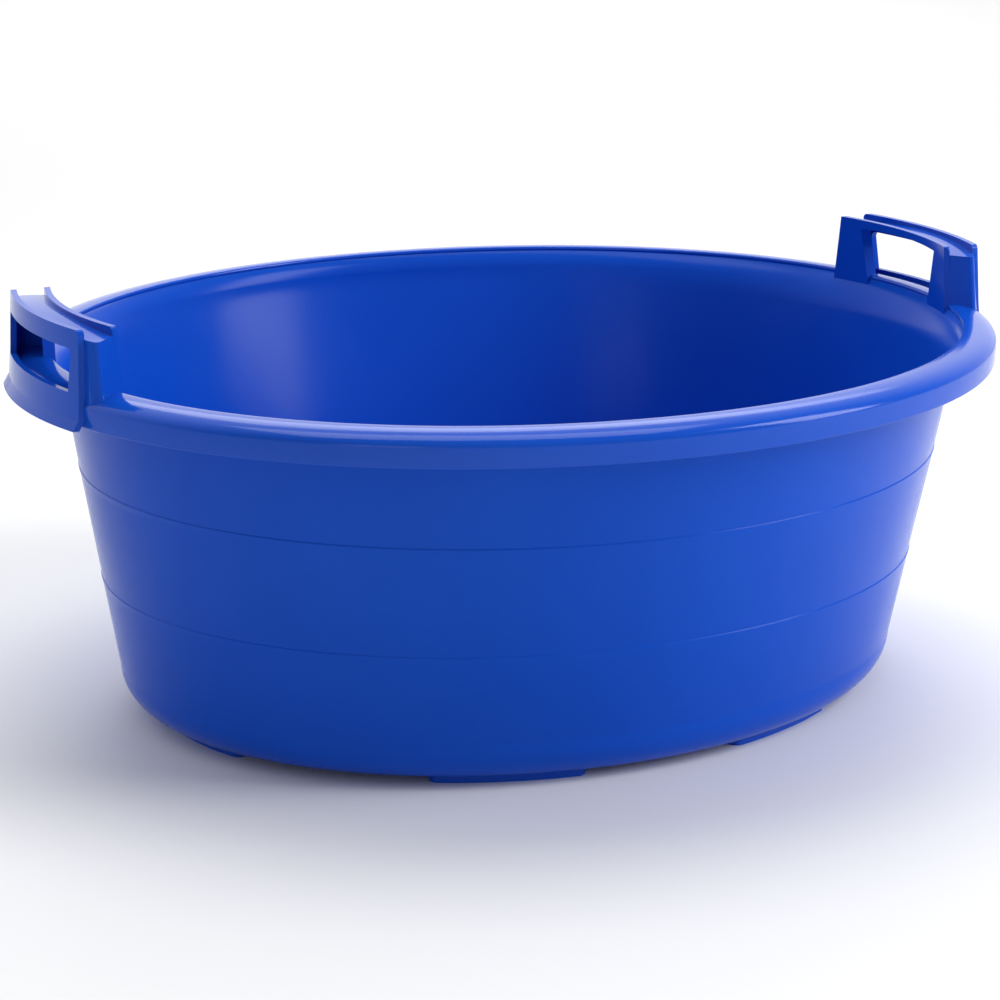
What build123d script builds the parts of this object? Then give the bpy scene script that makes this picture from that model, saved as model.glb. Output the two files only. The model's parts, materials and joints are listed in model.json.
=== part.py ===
from build123d import *
import os
from math import cos, radians, sin

# Oval stable tub: one plastic moulding with a rolled rim and a raised grip at each end.
# +X is the long axis, +Y the short axis, +Z up. The feet stand on z = 0. Millimetres.
# Every horizontal section of the tub is an ellipse, given by its two half axes.

# Driving dimensions
WALL = 3.0
FOOT_HEIGHT = 5.0
FLOOR_TOP = FOOT_HEIGHT + WALL
CORNER_TOP = 32.0
LOWER_LINE = 95.0
UPPER_LINE = 170.0
NECK_BOTTOM = 230.0
NECK_TOP = 248.0
RIM_TOP = 251.0
GRIP_TOP = 291.0

# Half axes of the tub's outer surface at the top of the bottom corner and under the rim
CORNER_HALF_X, CORNER_HALF_Y = 276.0, 222.0
WALL_HALF_X, WALL_HALF_Y = 305.6, 278.0
# Half axes of the inner edge of the rim
LIP_HALF_X, LIP_HALF_Y = 315.0, 276.0
# How far the bottom corner curves in, along each axis
CORNER_IN_X, CORNER_IN_Y = 27.5, 20.0
# The floor reaches this far into the corner
FLOOR_EDGE = 1.0
# The wall steps out by this much at each moulding line
LINE_STEP = 0.5

# Rolled rim, measured outward from the lip
ROLL_FLAT = 4.0
ROLL_WIDTH = 22.7
ROLL_SHOULDER = 242.6
ROLL_BOTTOM = 229.8
ROLL_TAPER = 0.5
LIP_ROUND = 1.6

# Feet: arcs on the base, given by the middle and half the spread of each arc in degrees
FOOT_HALF_X, FOOT_HALF_Y = 250.5, 203.5
FOOT_WIDTH = 14.0
END_FOOT_SPREAD = 20.0
SIDE_FOOT_SPREAD = 10.5
# The side feet stand at these angles from the +X end and from the -X end
RIGHT_FOOT_ANGLE = 62.0
LEFT_FOOT_ANGLE = 68.0

# Grip plates: offsets of their faces outward from the lip
PLATE = 4.0
PLATE_FOOT = 243.0
INNER_PLATE_FOOT = -2.5
INNER_PLATE_TOP = -2.8
OUTER_PLATE_TOP = 23.0
OUTER_PLATE_MID = 25.0
OUTER_PLATE_BOTTOM = 30.0
FLANGE_BOTTOM = 228.5
FLARE_START = 235.0
OUTER_PLATE_FLARE = 26.2
# Half widths of the plates at the rim's top, and how much they narrow for each mm of height
INNER_HALF_WIDTH = 75.0
INNER_NARROWING = 0.14
OUTER_HALF_WIDTH = 73.0
OUTER_NARROWING = 0.05
PLATE_CORNER = 3.5
# Hand holes
INNER_HOLE_BOTTOM_HALF = 38.5
INNER_HOLE_TOP_HALF = 49.5
OUTER_HOLE_BOTTOM_HALF = 61.0
OUTER_HOLE_TOP_HALF = 64.0
OUTER_HOLE_SILL = 251.0
OUTER_HOLE_TOP = 278.5
HOLE_CORNER = 4.0
INNER_HOLE_CORNER = 1.0
JAMB_DEPTH = 4.0
JAMB_WIDTH = 2.6
# Floor of the grip's channel: an arch along the grip
GRIP_FLOOR_MIDDLE = 288.4
GRIP_FLOOR_END = 285.0
GRIP_FLOOR_THICK = 2.5
# End posts: a ridged shell whose ridge stands out past the plates' ends.
# Each plan runs from the inner plate over the ridge to the outer plate.
POST_WALL = 3.6
POST_BASE_PLAN = [(301.6, 73.3), (319.0, 86.0), (328.0, 75.0)]
POST_TOP_PLAN = [(301.6, 66.7), (319.0, 79.3), (327.0, 69.0)]
ARCH_OVERRUN = 20.0
PLAN_OVERRUN = 2.0
RIDGE_ROUND = 3.0

FAR = 400.0


def oval(half_x, half_y, height):
    """A horizontal elliptical face."""
    return Pos(0, 0, height) * Ellipse(half_x, half_y)


def stack(sections, ruled=True):
    """A solid through horizontal ellipses, each given as (half_x, half_y, height)."""
    return loft([oval(*section) for section in sections], ruled=ruled)


def inset(sections, amount):
    """The same sections, each smaller by amount all round."""
    return [(half_x - amount, half_y - amount, height) for half_x, half_y, height in sections]


def wall_axes(height):
    """Half axes of the straight tapered wall at a height."""
    part_way = (height - CORNER_TOP) / (NECK_BOTTOM - CORNER_TOP)
    half_x = CORNER_HALF_X + (WALL_HALF_X - CORNER_HALF_X) * part_way
    half_y = CORNER_HALF_Y + (WALL_HALF_Y - CORNER_HALF_Y) * part_way
    return half_x, half_y


def wall_band(bottom, top, proud):
    """One straight band of the wall, standing proud of the band below by a moulding step."""
    sections = [(*wall_axes(height), height) for height in (bottom, top)]
    return stack(inset(sections, -proud)) - stack(inset(sections, WALL))


def corner_sections(half_x, half_y, in_x, in_y, bottom, top):
    """Sections of a corner whose profile is a quarter of an ellipse."""
    sections = []
    steps = 6
    for step in range(steps + 1):
        turn = radians(90.0 * step / steps)
        draw_in = 1 - sin(turn)
        height = top - (top - bottom) * cos(turn)
        sections.append((half_x - in_x * draw_in, half_y - in_y * draw_in, height))
    return sections


def base_corner():
    """The rounded corner between the floor and the wall."""
    outer = corner_sections(CORNER_HALF_X, CORNER_HALF_Y, CORNER_IN_X, CORNER_IN_Y, FOOT_HEIGHT, CORNER_TOP)
    inner = corner_sections(
        CORNER_HALF_X - WALL, CORNER_HALF_Y - WALL,
        CORNER_IN_X - WALL + FLOOR_EDGE, CORNER_IN_Y - WALL + FLOOR_EDGE, FLOOR_TOP, CORNER_TOP)
    return stack(outer, ruled=False) - stack(inner, ruled=False) - floor_panel()


def floor_panel():
    """The flat floor inside the corner."""
    half_x = CORNER_HALF_X - CORNER_IN_X - FLOOR_EDGE
    half_y = CORNER_HALF_Y - CORNER_IN_Y - FLOOR_EDGE
    return extrude(oval(half_x, half_y, FOOT_HEIGHT), WALL)


def neck_inside():
    """The space inside the neck."""
    return stack([
        (WALL_HALF_X - WALL, WALL_HALF_Y - WALL, NECK_BOTTOM),
        (LIP_HALF_X, LIP_HALF_Y, NECK_TOP),
    ])


def rim_neck():
    """The band that carries the wall out to the lip."""
    proud = 2 * LINE_STEP
    outer = stack([
        (WALL_HALF_X + proud, WALL_HALF_Y + proud, NECK_BOTTOM),
        (LIP_HALF_X + WALL, LIP_HALF_Y + WALL, NECK_TOP),
    ])
    return outer - neck_inside()


def neck_envelope():
    """The neck and all that is outside it as far as the rim, to cut the grips against."""
    half_x, half_y = LIP_HALF_X + WALL, LIP_HALF_Y + WALL
    return stack([(half_x, half_y, NECK_BOTTOM), (half_x, half_y, NECK_TOP)]) - neck_inside()


def rim_curve(width, top):
    """The quarter curve from the rim's flat top over to its side; across is measured from the lip."""
    return EllipticalCenterArc(
        (ROLL_FLAT, ROLL_SHOULDER), width - ROLL_FLAT, top - ROLL_SHOULDER, 0, arc_size=90)


def rim_top_lines(lower_left):
    """The rim's outer line, from a point below the lip over the top to the shoulder."""
    return [
        Line(lower_left, (0, RIM_TOP - LIP_ROUND)),
        RadiusArc((0, RIM_TOP - LIP_ROUND), (LIP_ROUND, RIM_TOP), LIP_ROUND),
        Line((LIP_ROUND, RIM_TOP), (ROLL_FLAT, RIM_TOP)),
        rim_curve(ROLL_WIDTH, RIM_TOP),
    ]


def round_the_lip(lines):
    """Sweeps a closed outline of the rim round the lip."""
    section = Plane.XZ * Pos(LIP_HALF_X, 0, 0) * make_face(lines)
    return sweep(section, path=Wire([Edge.make_ellipse(LIP_HALF_X, LIP_HALF_Y)]))


def rim_top():
    """The rim's curved top, from the lip to the shoulder."""
    inside = ROLL_WIDTH - WALL
    return round_the_lip(rim_top_lines((0, NECK_TOP)) + [
        Line((ROLL_WIDTH, ROLL_SHOULDER), (inside, ROLL_SHOULDER)),
        rim_curve(inside, NECK_TOP),
        Line((ROLL_FLAT, NECK_TOP), (0, NECK_TOP)),
    ])


def rim_skirt():
    """The rim's downturned edge, below the shoulder."""
    edge = ROLL_WIDTH - ROLL_TAPER
    outline = Polyline(
        (ROLL_WIDTH, ROLL_SHOULDER), (edge, ROLL_BOTTOM),
        (edge - WALL, ROLL_BOTTOM), (ROLL_WIDTH - WALL, ROLL_SHOULDER), close=True)
    return round_the_lip([outline])


def rim_envelope():
    """The rim with its hollow underside filled, to cut the grips against."""
    edge = ROLL_WIDTH - ROLL_TAPER
    return round_the_lip(rim_top_lines((0, ROLL_BOTTOM)) + [
        Line((ROLL_WIDTH, ROLL_SHOULDER), (edge, ROLL_BOTTOM)),
        Line((edge, ROLL_BOTTOM), (0, ROLL_BOTTOM)),
    ])


def foot_end(angle, side):
    """The tip of a foot's rounded end; side is 1 or -1 along the foot."""
    half_width = FOOT_WIDTH / 2
    across_x, across_y = cos(radians(angle)), sin(radians(angle))
    middle_x = (FOOT_HALF_X - half_width) * across_x
    middle_y = (FOOT_HALF_Y - half_width) * across_y
    return middle_x - side * half_width * across_y, middle_y + side * half_width * across_x


def foot(middle_angle, spread):
    """A low pad along the base, with rounded ends."""
    start, end = middle_angle - spread, middle_angle + spread
    outer = EllipticalCenterArc((0, 0), FOOT_HALF_X, FOOT_HALF_Y, start, arc_size=2 * spread)
    inner = EllipticalCenterArc(
        (0, 0), FOOT_HALF_X - FOOT_WIDTH, FOOT_HALF_Y - FOOT_WIDTH, start, arc_size=2 * spread)
    first_end = ThreePointArc(inner @ 0, foot_end(start, -1), outer @ 0)
    last_end = ThreePointArc(outer @ 1, foot_end(end, 1), inner @ 1)
    return extrude(make_face([outer, last_end, inner, first_end]), FOOT_HEIGHT)


def offset_stack(levels):
    """A solid whose sections are the lip's ellipse moved outward; levels are (offset, height)."""
    return stack([(LIP_HALF_X + out, LIP_HALF_Y + out, height) for out, height in levels])


INNER_PLATE_INSIDE = [(INNER_PLATE_FOOT, PLATE_FOOT), (INNER_PLATE_TOP, GRIP_TOP)]
INNER_PLATE_OUTSIDE = [(out + PLATE, height) for out, height in INNER_PLATE_INSIDE]
OUTER_PLATE_OUTSIDE = [
    (OUTER_PLATE_BOTTOM, FLANGE_BOTTOM), (OUTER_PLATE_FLARE, FLARE_START),
    (OUTER_PLATE_MID, RIM_TOP), (OUTER_PLATE_TOP, GRIP_TOP)]
OUTER_PLATE_INSIDE = [(out - PLATE, height) for out, height in OUTER_PLATE_OUTSIDE]


def across(outline):
    """A prism through the +X end from an outline in the YZ plane."""
    return extrude(Plane.YZ * outline, FAR)


def trapezoid(bottom_half, top_half, bottom, top, corner):
    """An upright four-sided outline with rounded top corners."""
    shape = make_face(Polyline(
        (-bottom_half, bottom), (bottom_half, bottom), (top_half, top), (-top_half, top), close=True))
    top_corners = shape.vertices().group_by(Axis.Y)[-1]
    return fillet(top_corners, corner)


def plate_outline(half_width, narrowing, bottom):
    """The outline of a grip plate, which narrows upward."""
    bottom_half = half_width + narrowing * (RIM_TOP - bottom)
    top_half = half_width - narrowing * (GRIP_TOP - RIM_TOP)
    return trapezoid(bottom_half, top_half, bottom, GRIP_TOP, PLATE_CORNER)


def arch_height(across_y):
    """Height of the channel floor's top at a distance along the grip."""
    drop = GRIP_FLOOR_MIDDLE - GRIP_FLOOR_END
    return GRIP_FLOOR_MIDDLE - drop * (across_y / OUTER_HALF_WIDTH) ** 2


def arch_line(depth):
    """The arched line at a depth below the channel floor's top, past both ends of the grip."""
    half = OUTER_HALF_WIDTH + ARCH_OVERRUN
    points = [(along, arch_height(along) - depth) for along in (-half, 0, half)]
    return ThreePointArc(*points)


def arch_outline(lower, upper):
    """A band under the channel floor's top, between two depths below it."""
    top = arch_line(upper)
    bottom = arch_line(lower)
    ends = [Line(top @ 0, bottom @ 0), Line(top @ 1, bottom @ 1)]
    return make_face([top, bottom] + ends)


def inner_hole():
    """The hand hole in the inner plate, closed above by the channel floor."""
    hole = trapezoid(INNER_HOLE_BOTTOM_HALF, INNER_HOLE_TOP_HALF, PLATE_FOOT, GRIP_TOP, INNER_HOLE_CORNER)
    below_floor = arch_outline(FAR, GRIP_FLOOR_THICK)
    return across(hole & below_floor)


def outer_hole():
    """The hand hole in the outer plate."""
    hole = trapezoid(
        OUTER_HOLE_BOTTOM_HALF, OUTER_HOLE_TOP_HALF, OUTER_HOLE_SILL, OUTER_HOLE_TOP, HOLE_CORNER)
    return across(hole)


def inner_plate():
    """The plate that carries the tub's inside up to the grip."""
    shell = offset_stack(INNER_PLATE_OUTSIDE) - offset_stack(INNER_PLATE_INSIDE)
    plate = shell & across(plate_outline(INNER_HALF_WIDTH, INNER_NARROWING, PLATE_FOOT))
    return (plate & post_block(0)) - inner_hole() - rim_envelope() - neck_envelope()


def outer_plate():
    """The outer plate, which runs down over the rim and flares at its lower edge."""
    shell = offset_stack(OUTER_PLATE_OUTSIDE) - offset_stack(OUTER_PLATE_INSIDE)
    plate = shell & across(plate_outline(OUTER_HALF_WIDTH, OUTER_NARROWING, FLANGE_BOTTOM))
    return plate - outer_hole() - rim_envelope()


def between_plates():
    """The space between the two plates, above the rim."""
    outside = offset_stack(OUTER_PLATE_INSIDE)
    inside = offset_stack(INNER_PLATE_OUTSIDE)
    return outside - inside - rim_envelope()


def stretched(start, end):
    """The point a short way past end, on the line from start."""
    along_x, along_y = end[0] - start[0], end[1] - start[1]
    return end[0] + PLAN_OVERRUN * along_x, end[1] + PLAN_OVERRUN * along_y


def post_outline(plan, shrink):
    """Plan of the grip: its two ends come to a rounded ridge."""
    inner, ridge, outer = plan
    line = [stretched(ridge, inner), ridge, stretched(ridge, outer)]
    rear = [(x, y - shrink) for x, y in line]
    front = [(x, -y) for x, y in reversed(rear)]
    shape = make_face(Polyline(*rear, *front, close=True))
    ridges = shape.vertices().filter_by_position(Axis.X, ridge[0] - 1, ridge[0] + 1)
    return fillet(ridges, RIDGE_ROUND)


def post_block(shrink):
    """The solid inside the ridged ends, tapering upward."""
    base = Pos(0, 0, PLATE_FOOT) * post_outline(POST_BASE_PLAN, shrink)
    top = Pos(0, 0, GRIP_TOP) * post_outline(POST_TOP_PLAN, shrink)
    return loft([base, top], ruled=True)


def grip_floor():
    """The arched floor of the channel between the plates."""
    band = across(arch_outline(GRIP_FLOOR_THICK, 0))
    return post_block(0) & between_plates() & band


def posts():
    """The two hollow end posts below the channel floor, front first."""
    shell = post_block(0) - post_block(POST_WALL)
    below = across(arch_outline(FAR, GRIP_FLOOR_THICK))
    both = shell & between_plates() & below
    return both.solids().sort_by(Axis.Y)


def jambs():
    """Two flanges behind the sides of the inner hand hole, front first."""
    behind = [(out + JAMB_DEPTH, height) for out, height in INNER_PLATE_OUTSIDE]
    shell = offset_stack(behind) - offset_stack(INNER_PLATE_OUTSIDE)
    frame = trapezoid(
        INNER_HOLE_BOTTOM_HALF + JAMB_WIDTH, INNER_HOLE_TOP_HALF + JAMB_WIDTH,
        RIM_TOP, GRIP_TOP, INNER_HOLE_CORNER)
    below = arch_outline(FAR, GRIP_FLOOR_THICK)
    both = (shell & across(frame & below)) - inner_hole() - rim_envelope()
    return both.solids().sort_by(Axis.Y)


def grip_nodes():
    """Every section of the +X grip, by name."""
    front_post, rear_post = posts()
    front_jamb, rear_jamb = jambs()
    return {
        "grip_outer_plate": outer_plate(),
        "grip_inner_plate": inner_plate(),
        "grip_channel_floor": grip_floor(),
        "grip_front_post": front_post,
        "grip_rear_post": rear_post,
        "grip_front_jamb": front_jamb,
        "grip_rear_jamb": rear_jamb,
    }


def feet():
    """Six pads: one under each end and two along each side."""
    right, left = RIGHT_FOOT_ANGLE, LEFT_FOOT_ANGLE
    return {
        "right_end_foot": foot(0, END_FOOT_SPREAD),
        "left_end_foot": foot(180, END_FOOT_SPREAD),
        "rear_right_foot": foot(right, SIDE_FOOT_SPREAD),
        "rear_left_foot": foot(180 - left, SIDE_FOOT_SPREAD),
        "front_left_foot": foot(180 + left, SIDE_FOOT_SPREAD),
        "front_right_foot": foot(-right, SIDE_FOOT_SPREAD),
    }


def tub_nodes():
    """The tub's own sections, from the floor to the rim."""
    return {
        "floor_panel": floor_panel(),
        "base_corner": base_corner(),
        "lower_wall": wall_band(CORNER_TOP, LOWER_LINE, 0),
        "middle_wall": wall_band(LOWER_LINE, UPPER_LINE, LINE_STEP),
        "upper_wall": wall_band(UPPER_LINE, NECK_BOTTOM, 2 * LINE_STEP),
        "rim_neck": rim_neck(),
        "rim_top": rim_top(),
        "rim_skirt": rim_skirt(),
    }


def main():
    os.makedirs("parts", exist_ok=True)
    nodes = tub_nodes()
    nodes.update(feet())
    for name, shape in grip_nodes().items():
        nodes["right_" + name] = shape
        nodes["left_" + name] = mirror(shape, about=Plane.YZ)
    for name, shape in nodes.items():
        export_step(shape, f"parts/{name}.step")


main()
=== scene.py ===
import json
import math

import bpy
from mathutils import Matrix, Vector


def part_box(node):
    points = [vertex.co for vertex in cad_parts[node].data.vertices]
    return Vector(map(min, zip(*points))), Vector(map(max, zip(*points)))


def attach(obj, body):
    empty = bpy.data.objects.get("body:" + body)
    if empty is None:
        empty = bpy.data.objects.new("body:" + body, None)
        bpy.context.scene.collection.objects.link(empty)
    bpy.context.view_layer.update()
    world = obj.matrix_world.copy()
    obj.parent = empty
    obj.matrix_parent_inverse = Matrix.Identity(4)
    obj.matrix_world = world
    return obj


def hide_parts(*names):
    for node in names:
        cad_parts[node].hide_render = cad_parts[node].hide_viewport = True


# Oval blue stable tub: a glossy one-piece moulding, shown on a plain pale floor.
# Metres, in the frame of the CAD model: +X long axis, +Z up, the viewer at -Y.

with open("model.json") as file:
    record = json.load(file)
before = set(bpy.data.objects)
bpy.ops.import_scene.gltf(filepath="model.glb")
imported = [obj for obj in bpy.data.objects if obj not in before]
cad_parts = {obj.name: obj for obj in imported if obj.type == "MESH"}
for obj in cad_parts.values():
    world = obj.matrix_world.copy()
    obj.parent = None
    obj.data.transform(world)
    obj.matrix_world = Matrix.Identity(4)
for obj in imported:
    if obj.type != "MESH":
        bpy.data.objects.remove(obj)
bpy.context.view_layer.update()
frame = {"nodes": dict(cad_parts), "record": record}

# Wall: thickness, how far the flat floor reaches into the corner, and the rounding of its bends
WALL = 0.003
FLOOR_EDGE = 0.001
CREASE_ROUND = 0.0012
NECK_ROUND = 0.006

# Moulding lines: below each line the wall swells over LINE_RISE to a small bead.
# Above the bead it falls back over LINE_FALL, and goes on LINE_STEP further out than before.
LINE_STEP = 0.0005
LINE_BEAD = 0.0005
LINE_RISE = 0.0035
LINE_FALL = 0.0007
LINE_ROUND = 0.0003

# Rolled rim: flat width beside the lip, taper of the skirt, rounding of the lip and the lower edge
ROLL_FLAT = 0.004
ROLL_TAPER = 0.0005
LIP_ROUND = 0.0016
EDGE_ROUND = 0.0009

# Rounded edges of the grip plates
BEVEL_WIDTH = 0.0008
BEVEL_SEGMENTS = 3
BEVEL_ANGLE = math.radians(35)

# Steps around the tub, and along each kind of bend in its profile
AROUND = 288
CORNER_STEPS = 14
ROLL_STEPS = 16
LIP_STEPS = 4
BEND_STEPS = 4
# A bend takes at most this share of the stretch beside it
BEND_SHARE = 0.45
# Extra loops stand this far from a bend, on stretches that are long enough, to keep them flat
SUPPORT = 0.0015
SUPPORT_NEEDS = SUPPORT * 3

# Plastic: its two tones, and where in the noise one tone gives way to the other
REFRACTION = 1.5
DEEP_BLUE = (0.0040, 0.068, 0.50, 1)
CLEAR_BLUE = (0.0050, 0.076, 0.54, 1)
TONE_SCALE = 5.0
DEEP_UNDER = 0.35
CLEAR_OVER = 0.65
# Its roughness goes from the low share to the high share of the finish's own, over this part of the noise
GLOSS_SCALE = 26.0
GLOSS_FROM = 0.3
GLOSS_TO = 0.7
LOW_SHARE = 0.92
HIGH_SHARE = 1.10
SCUFF_ROUGHNESS = 0.1
# Its finely grained skin
SKIN_SCALE = 420.0
SKIN_DEPTH = 0.0004
# Peel is the strength of the grained skin, and scuffs tells how much the dullest patches lose
FINISHES = {
    "wall_plastic": {"roughness": 0.20, "specular": 0.10, "peel": 0.012, "scuffs": 0.15},
    "rim_plastic": {"roughness": 0.13, "specular": 0.24, "peel": 0.010, "scuffs": 0.08},
    "grip_plastic": {"roughness": 0.11, "specular": 0.14, "peel": 0.010, "scuffs": 0.08},
    "foot_plastic": {"roughness": 0.36, "specular": 0.20, "peel": 0.12, "scuffs": 0.8},
}

# Studio floor, and the brightness of the surround in front of and behind the tub
FLOOR_SIZE = 14
FLOOR_GREY = (0.86, 0.86, 0.86, 1)
FLOOR_ROUGHNESS = 0.8
FRONT_GLOW = 0.30
BACK_GLOW = 1.25
# The change from one to the other, as the Y part of the direction
FRONT_UNDER = -0.1
BACK_OVER = 0.7

# Softboxes: name, width, height, watts, place and target
TUB_MIDDLE = (0, 0, 0.15)
LIGHTS = [
    ("key", 1.1, 2.2, 66, (2.1, -1.6, 1.55), TUB_MIDDLE),
    ("top", 1.8, 1.2, 20, (0.1, 0.3, 2.3), TUB_MIDDLE),
    ("floor_wash", 3.0, 3.0, 60, (1.7, 3.9, 2.8), (1.7, 3.9, 0)),
    ("fill", 1.0, 1.0, 4, (-2.1, -2.3, 0.60), (0, 0, 0.2)),
]

# Camera
TARGET = Vector((0.0, 0.0165, 0.130))
DISTANCE = 2.0754
AZIMUTH = math.radians(-25.6)
ELEVATION = math.radians(15.3)
LENS = 107.5
SENSOR = 36
SHIFT_X = -0.0013
SHIFT_Y = -0.0101
CLIP_END = 50


def half_axes(name):
    """Half axes and top height of a CAD node's outer ellipse, read from its box."""
    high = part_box(name)[1]
    return high.x, high.y, high.z


def soften(points):
    """Rounds the corners of a line of (half_x, half_y, height, radius) points."""
    line = [Vector(points[0][:3])]
    for before, here, after in zip(points, points[1:], points[2:]):
        corner = Vector(here[:3])
        radius = here[3]
        if radius == 0:
            line.append(corner)
            continue
        back = Vector(before[:3]) - corner
        ahead = Vector(after[:3]) - corner
        start = corner + back.normalized() * min(radius, back.length * BEND_SHARE)
        end = corner + ahead.normalized() * min(radius, ahead.length * BEND_SHARE)
        if back.length > SUPPORT_NEEDS:
            line.append(start + back.normalized() * SUPPORT)
        for step in range(BEND_STEPS + 1):
            part = step / BEND_STEPS
            line.append(start * (1 - part) ** 2 + corner * 2 * part * (1 - part) + end * part ** 2)
        if ahead.length > SUPPORT_NEEDS:
            line.append(end + ahead.normalized() * SUPPORT)
    line.append(Vector(points[-1][:3]))
    return line


def ring_mesh(name, profile, closed):
    """A mesh through horizontal ellipses; a profile point with no width is a single vertex."""
    vertices = []
    rings = []
    for half_x, half_y, height in profile:
        if half_x == 0:
            rings.append([len(vertices)] * AROUND)
            vertices.append((0, 0, height))
            continue
        start = len(vertices)
        for step in range(AROUND):
            turn = 2 * math.pi * step / AROUND
            vertices.append((half_x * math.cos(turn), half_y * math.sin(turn), height))
        rings.append(list(range(start, start + AROUND)))
    if closed:
        rings.append(rings[0])
    faces = []
    for lower, upper in zip(rings, rings[1:]):
        for step in range(AROUND):
            after = (step + 1) % AROUND
            corners = [lower[step], lower[after], upper[after], upper[step]]
            faces.append(list(dict.fromkeys(corners)))
    mesh = bpy.data.meshes.new(name)
    mesh.from_pydata(vertices, [], faces)
    mesh.validate()
    mesh.polygons.foreach_set("use_smooth", [True] * len(mesh.polygons))
    piece = bpy.data.objects.new(name, mesh)
    bpy.context.scene.collection.objects.link(piece)
    return piece


def corner_curve(inward):
    """The line of the bottom corner from the floor's middle, on its outer side moved inward."""
    floor_x, floor_y, _ = half_axes("floor_panel")
    corner_x, corner_y, corner_top = half_axes("base_corner")
    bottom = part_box("floor_panel")[0].z + inward
    start_x = floor_x + FLOOR_EDGE * (1 - inward / WALL)
    start_y = floor_y + FLOOR_EDGE * (1 - inward / WALL)
    points = [(0, 0, bottom, 0)]
    for step in range(CORNER_STEPS + 1):
        turn = math.pi / 2 * step / CORNER_STEPS
        out = math.sin(turn)
        points.append((
            start_x + (corner_x - inward - start_x) * out,
            start_y + (corner_y - inward - start_y) * out,
            corner_top - (corner_top - bottom) * math.cos(turn), 0))
    points[-1] = (*points[-1][:3], CREASE_ROUND)
    return points


def wall_outside():
    """Outer line of the wall from the floor's middle to the neck's top, with its moulding lines."""
    points = corner_curve(0)
    for name in ("lower_wall", "middle_wall"):
        half_x, half_y, top = half_axes(name)
        proud = LINE_STEP + LINE_BEAD
        points.append((half_x, half_y, top - LINE_RISE, LINE_ROUND))
        points.append((half_x + proud, half_y + proud, top, LINE_ROUND))
        points.append((half_x + LINE_STEP, half_y + LINE_STEP, top + LINE_FALL, LINE_ROUND))
    points.append((*half_axes("upper_wall"), NECK_ROUND))
    points.append((*half_axes("rim_neck"), 0))
    return points


def wall_inside():
    """Inner line of the wall, which is smooth from the corner to the neck."""
    points = corner_curve(WALL)
    thick = WALL + 2 * LINE_STEP
    half_x, half_y, top = half_axes("upper_wall")
    points.append((half_x - thick, half_y - thick, top, NECK_ROUND))
    half_x, half_y, top = half_axes("rim_neck")
    points.append((half_x - WALL, half_y - WALL, top, 0))
    return points


def tub_body():
    """Floor, corner, walls and neck as one smooth skin, inside and out."""
    outer = soften(wall_outside())
    inner = soften(wall_inside())
    piece = ring_mesh("tub_body", outer + inner[::-1], closed=False)
    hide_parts("floor_panel", "base_corner", "lower_wall", "middle_wall", "upper_wall", "rim_neck")
    return piece


def roll_curve(width, high, shoulder):
    """A quarter round from the top of the roll to its shoulder, as (across, height, radius)."""
    line = []
    for step in range(ROLL_STEPS + 1):
        turn = math.pi / 2 * step / ROLL_STEPS
        across = ROLL_FLAT + (width - ROLL_FLAT) * math.sin(turn)
        line.append((across, shoulder + (high - shoulder) * math.cos(turn), 0))
    return line


def rim_line(width, top, neck_top, shoulder, bottom):
    """The rim's closed section, measured outward from the lip."""
    line = [(0, neck_top, 0), (0, top - LIP_ROUND, 0)]
    for step in range(1, LIP_STEPS + 1):
        turn = math.pi / 2 * step / LIP_STEPS
        line.append((LIP_ROUND * (1 - math.cos(turn)), top - LIP_ROUND * (1 - math.sin(turn)), 0))
    line.extend(roll_curve(width, top, shoulder))
    line.append((width - ROLL_TAPER, bottom, EDGE_ROUND))
    line.append((width - ROLL_TAPER - WALL, bottom, EDGE_ROUND))
    line.extend(roll_curve(width - WALL, neck_top, shoulder)[::-1])
    return line


def tub_rim():
    """The rolled rim: an open flange turned down all round the lip."""
    low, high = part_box("rim_top")
    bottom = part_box("rim_skirt")[0].z
    neck_x, neck_y, neck_top = half_axes("rim_neck")
    lip_x, lip_y = neck_x - WALL, neck_y - WALL
    line = rim_line(high.x - lip_x, high.z, neck_top, low.z, bottom)
    points = [(lip_x + across, lip_y + across, height, radius) for across, height, radius in line]
    piece = ring_mesh("tub_rim", soften(points), closed=True)
    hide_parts("rim_top", "rim_skirt")
    return piece


def shader_node(tree, kind, **values):
    """A new shader node with the given input values; an underscore stands for a space."""
    made = tree.nodes.new(kind)
    for name, value in values.items():
        made.inputs[name.replace("_", " ")].default_value = value
    return made


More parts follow.
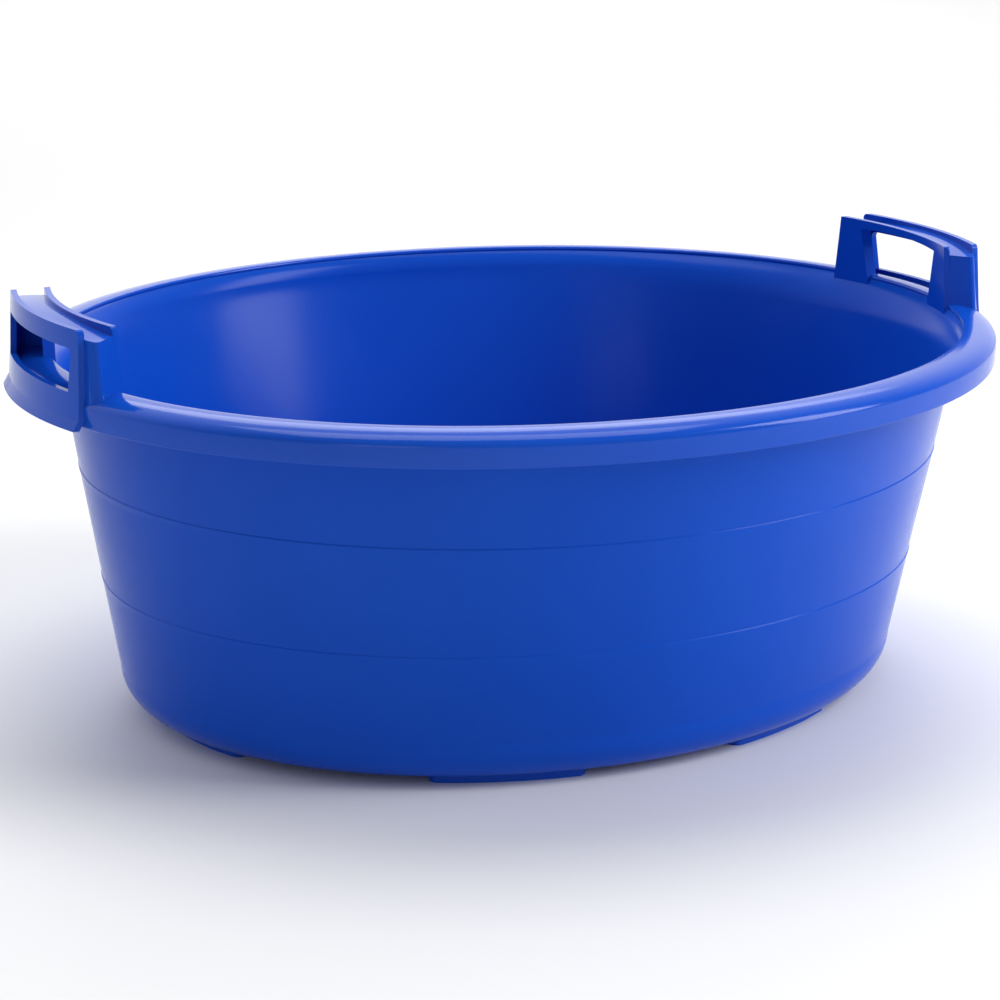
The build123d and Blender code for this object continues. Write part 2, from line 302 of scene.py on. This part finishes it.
def blue_plastic(name, roughness, specular, peel, scuffs):
    """Blue moulded plastic with slight changes of tone and gloss, duller patches and a grained skin."""
    material = bpy.data.materials.new(name)
    material.use_nodes = True
    tree = material.node_tree
    links = tree.links
    shader = tree.nodes["Principled BSDF"]
    shader.inputs["IOR"].default_value = REFRACTION
    shader.inputs["Specular IOR Level"].default_value = specular
    place = shader_node(tree, "ShaderNodeTexCoord")

    tone = shader_node(tree, "ShaderNodeTexNoise", Scale=TONE_SCALE, Detail=6.0)
    links.new(place.outputs["Object"], tone.inputs["Vector"])
    colour = shader_node(tree, "ShaderNodeValToRGB")
    deep, clear = colour.color_ramp.elements
    deep.position = DEEP_UNDER
    deep.color = DEEP_BLUE
    clear.position = CLEAR_OVER
    clear.color = CLEAR_BLUE
    links.new(tone.outputs["Fac"], colour.inputs["Fac"])
    links.new(colour.outputs["Color"], shader.inputs["Base Color"])

    blotch = shader_node(tree, "ShaderNodeTexNoise", Scale=GLOSS_SCALE, Detail=8.0)
    links.new(place.outputs["Object"], blotch.inputs["Vector"])
    gloss = shader_node(
        tree, "ShaderNodeMapRange", From_Min=GLOSS_FROM, From_Max=GLOSS_TO,
        To_Min=roughness * LOW_SHARE, To_Max=roughness * HIGH_SHARE + scuffs * SCUFF_ROUGHNESS)
    links.new(blotch.outputs["Fac"], gloss.inputs["Value"])
    links.new(gloss.outputs["Result"], shader.inputs["Roughness"])

    skin = shader_node(tree, "ShaderNodeTexNoise", Scale=SKIN_SCALE, Detail=3.0)
    links.new(place.outputs["Object"], skin.inputs["Vector"])
    bump = shader_node(tree, "ShaderNodeBump", Strength=peel, Distance=SKIN_DEPTH)
    links.new(skin.outputs["Fac"], bump.inputs["Height"])
    links.new(bump.outputs["Normal"], shader.inputs["Normal"])
    return material


def soft_light(name, width, height, power, place, target):
    """A rectangular softbox that faces its target."""
    light = bpy.data.lights.new(name, "AREA")
    light.shape = "RECTANGLE"
    light.size = width
    light.size_y = height
    light.energy = power
    holder = bpy.data.objects.new(name, light)
    holder.location = place
    holder.rotation_euler = (Vector(target) - Vector(place)).to_track_quat("-Z", "Y").to_euler()
    bpy.context.scene.collection.objects.link(holder)


def camera():
    """The viewer, in front of the tub and a little to the left and above."""
    lens = bpy.data.cameras.new("camera")
    lens.lens = LENS
    lens.sensor_width = SENSOR
    lens.shift_x = SHIFT_X
    lens.shift_y = SHIFT_Y
    lens.clip_end = CLIP_END
    back = Vector((
        math.sin(AZIMUTH) * math.cos(ELEVATION),
        -math.cos(AZIMUTH) * math.cos(ELEVATION),
        math.sin(ELEVATION)))
    viewer = bpy.data.objects.new("camera", lens)
    viewer.location = TARGET + back * DISTANCE
    viewer.rotation_euler = back.to_track_quat("Z", "Y").to_euler()
    bpy.context.scene.collection.objects.link(viewer)
    bpy.context.scene.camera = viewer


def studio_floor():
    """A plain pale floor under the feet."""
    bpy.ops.mesh.primitive_plane_add(size=FLOOR_SIZE, location=(0, 0, 0))
    floor = bpy.context.object
    floor.name = "studio_floor"
    paint = bpy.data.materials.new("studio_floor")
    paint.use_nodes = True
    shader = paint.node_tree.nodes["Principled BSDF"]
    shader.inputs["Base Color"].default_value = FLOOR_GREY
    shader.inputs["Roughness"].default_value = FLOOR_ROUGHNESS
    floor.data.materials.append(paint)


def surround():
    """A white surround, dimmer in front of the tub than behind it."""
    world = bpy.data.worlds.new("surround")
    world.use_nodes = True
    tree = world.node_tree
    shader = tree.nodes["Background"]
    direction = shader_node(tree, "ShaderNodeTexCoord")
    split = shader_node(tree, "ShaderNodeSeparateXYZ")
    tree.links.new(direction.outputs["Generated"], split.inputs["Vector"])
    glow = shader_node(
        tree, "ShaderNodeMapRange", From_Min=FRONT_UNDER, From_Max=BACK_OVER,
        To_Min=FRONT_GLOW, To_Max=BACK_GLOW)
    tree.links.new(split.outputs["Y"], glow.inputs["Value"])
    tree.links.new(glow.outputs["Result"], shader.inputs["Strength"])
    shader.inputs["Color"].default_value = (1, 1, 1, 1)
    bpy.context.scene.world = world


def soften_edges(piece):
    """Small rounded edges on a CAD plate, as the moulding has."""
    edges = piece.modifiers.new("rounded_edges", "BEVEL")
    edges.width = BEVEL_WIDTH
    edges.segments = BEVEL_SEGMENTS
    edges.limit_method = "ANGLE"
    edges.angle_limit = BEVEL_ANGLE
    edges.harden_normals = True


plastics = {name: blue_plastic(name, **finish) for name, finish in FINISHES.items()}
for part in frame["record"]["subparts"]:
    solid = frame["nodes"][part["node"]]
    solid.data.materials.clear()
    solid.data.materials.append(plastics[part["material_slot"]])
    if part["node"].endswith("plate"):
        soften_edges(solid)
for piece, slot_name in ((tub_body(), "wall_plastic"), (tub_rim(), "rim_plastic")):
    piece.data.materials.append(plastics[slot_name])
    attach(piece, "root")

camera()
studio_floor()
surround()
for light in LIGHTS:
    soft_light(*light)
bpy.context.scene.view_settings.view_transform = "Standard"
